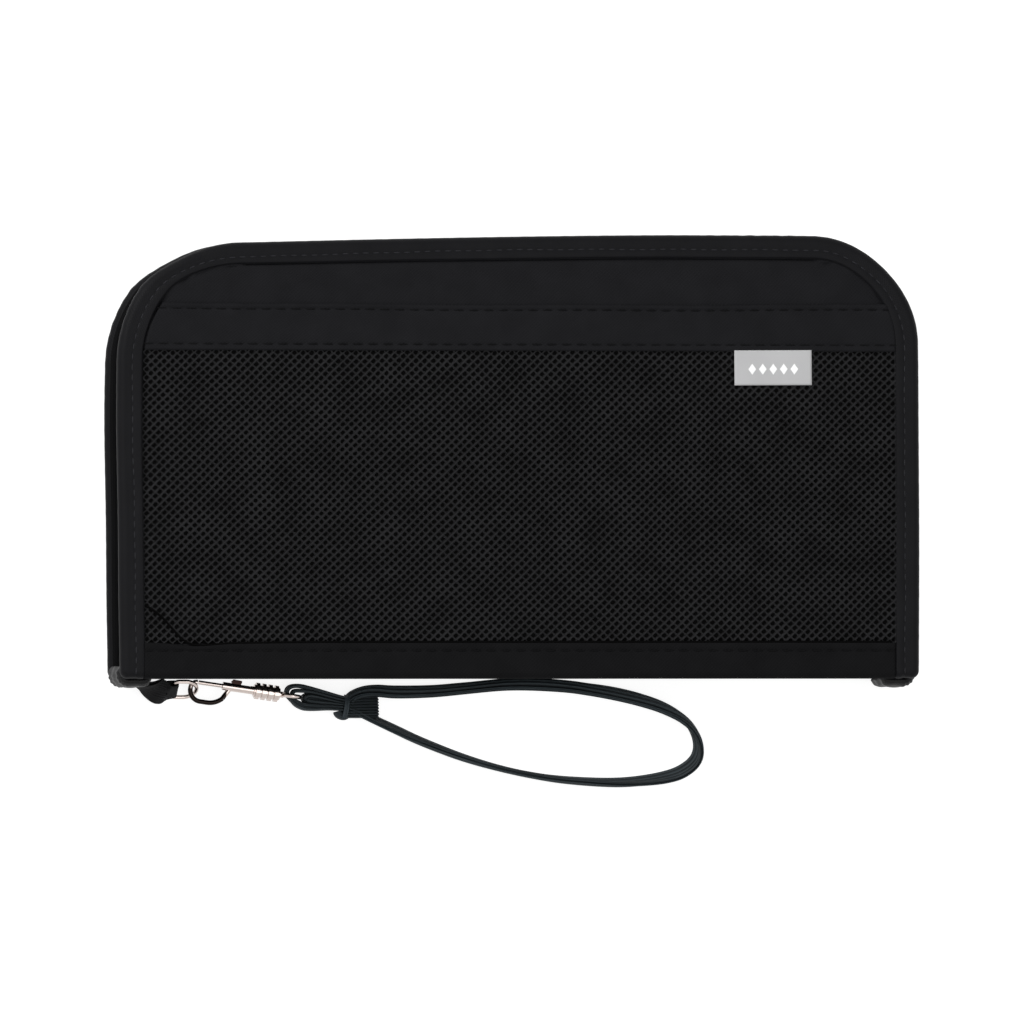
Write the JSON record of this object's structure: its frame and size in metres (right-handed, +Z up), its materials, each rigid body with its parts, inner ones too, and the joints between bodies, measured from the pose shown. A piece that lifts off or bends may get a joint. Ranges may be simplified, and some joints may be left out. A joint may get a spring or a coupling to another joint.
{
  "type": "travel document organizer",
  "caption": "Slim zip-around folio for passports and tickets, with a net front pocket, inner slip pockets, a pen loop and a clip-on wrist strap.",
  "frame": {"origin": "centre of the back cover's outer face, on which the shut case lies", "axes": "+X along the spine towards the zip slider's side, +Y from the spine to the top edge, +Z up through the thickness to the net pocket"},
  "size_m": [0.235, 0.1593, 0.025],
  "materials": {
    "shell": "woven polyester, matt black",
    "foam": "closed-cell foam padding",
    "foil": "signal blocking foil cloth",
    "lining": "fine nylon lining, black",
    "binding": "folded grosgrain binding, black",
    "zip_tape": "woven zip tape, black",
    "zip_teeth": "moulded acetal, black",
    "zip_metal": "dark enamelled zinc",
    "board": "stiffening board",
    "elastic": "ribbed elastic, black",
    "ribbon": "ribbed black ribbon",
    "net": "knitted net, black",
    "tag": "grey woven tag",
    "nickel": "polished nickel plate"
  },
  "bodies": {
    "root": {"back_shell": "shell", "back_foam": "foam", "back_foil": "foil", "back_lining": "lining", "back_binding": "binding", "back_zip_tape": "zip_tape", "back_zip_teeth": "zip_teeth", "back_zip_stops": "zip_metal", "spine_shell": "shell", "spine_board": "board", "spine_lining": "lining", "spine_bindings": "binding", "ticket_pocket": "lining", "passport_pocket": "lining", "card_pockets": "lining", "pen_loop": "elastic", "strap_tab": "ribbon"},
    "front_cover": {"front_shell": "shell", "front_foam": "foam", "front_foil": "foil", "front_lining": "lining", "front_binding": "binding", "front_zip_tape": "zip_tape", "front_zip_teeth": "zip_teeth", "front_zip_stops": "zip_metal", "mesh_pocket": "net", "pocket_top_band": "shell", "pocket_bottom_band": "shell", "coin_pocket_lower": "lining", "coin_pocket_upper": "lining", "coin_zip_tape": "zip_tape", "coin_zip_teeth": "zip_teeth", "tag": "tag"},
    "zip_slider": {"zip_slider": "zip_metal"},
    "zip_pull": {"zip_pull": "zip_metal"},
    "coin_slider": {"coin_slider": "zip_metal"},
    "coin_pull": {"coin_pull": "zip_metal"},
    "d_ring": {"d_ring": "nickel"},
    "clasp": {"clasp_hook": "nickel", "strap_head": "ribbon", "strap_cinch": "ribbon", "strap_tail": "ribbon", "wrist_strap": "ribbon"},
    "clasp_bolt": {"clasp_bolt": "nickel"},
    "swivel_eye": {"swivel_eye": "nickel"}
  },
  "joints": [
    {"name": "cover_hinge", "type": "hinge", "parent": "root", "child": "front_cover", "pos_m": [0, -0.0617, 0.0223], "axis": [1, 0, 0], "range_deg": [0, 180]},
    {"name": "zip_slide", "type": "slide", "parent": "root", "child": "zip_slider", "axis": [0, 1, 0], "range_m": [0, 0.078], "deforming": ["back_zip_teeth", "front_zip_teeth"]},
    {"name": "zip_pull_swing", "type": "hinge", "parent": "zip_slider", "child": "zip_pull", "pos_m": [0.1153, -0.0503, 0.0123], "axis": [0, 0, -1], "range_deg": [0, 120]},
    {"name": "coin_zip_slide", "type": "slide", "parent": "front_cover", "child": "coin_slider", "axis": [-1, 0, 0], "range_m": [0, 0.15], "deforming": ["coin_zip_teeth"]},
    {"name": "coin_pull_swing", "type": "hinge", "parent": "coin_slider", "child": "coin_pull", "pos_m": [0.0752, 0.0083, 0.0152], "axis": [0, -1, 0], "range_deg": [0, 40]},
    {"name": "d_ring_swing", "type": "hinge", "parent": "root", "child": "d_ring", "pos_m": [-0.0981, -0.06697, 0.00349], "axis": [0, 0.6157, 0.788], "range_deg": [-75, 0]},
    {"name": "clasp_swing", "type": "hinge", "parent": "d_ring", "child": "clasp", "pos_m": [-0.0913, -0.06697, 0.00349], "axis": [0, 0, -1], "range_deg": [0, 80]},
    {"name": "clasp_bolt_slide", "type": "slide", "parent": "clasp", "child": "clasp_bolt", "axis": [0.9895, -0.1444, 0], "range_m": [0, 0.0028], "stiffness_N_per_m": 6},
    {"name": "swivel_spin", "type": "hinge", "parent": "clasp", "child": "swivel_eye", "pos_m": [-0.06705, -0.06839, 0.00349], "axis": [0.9895, -0.1444, 0], "continuous": true, "deforming": ["strap_head", "strap_cinch", "strap_tail", "wrist_strap"]}
  ]
}
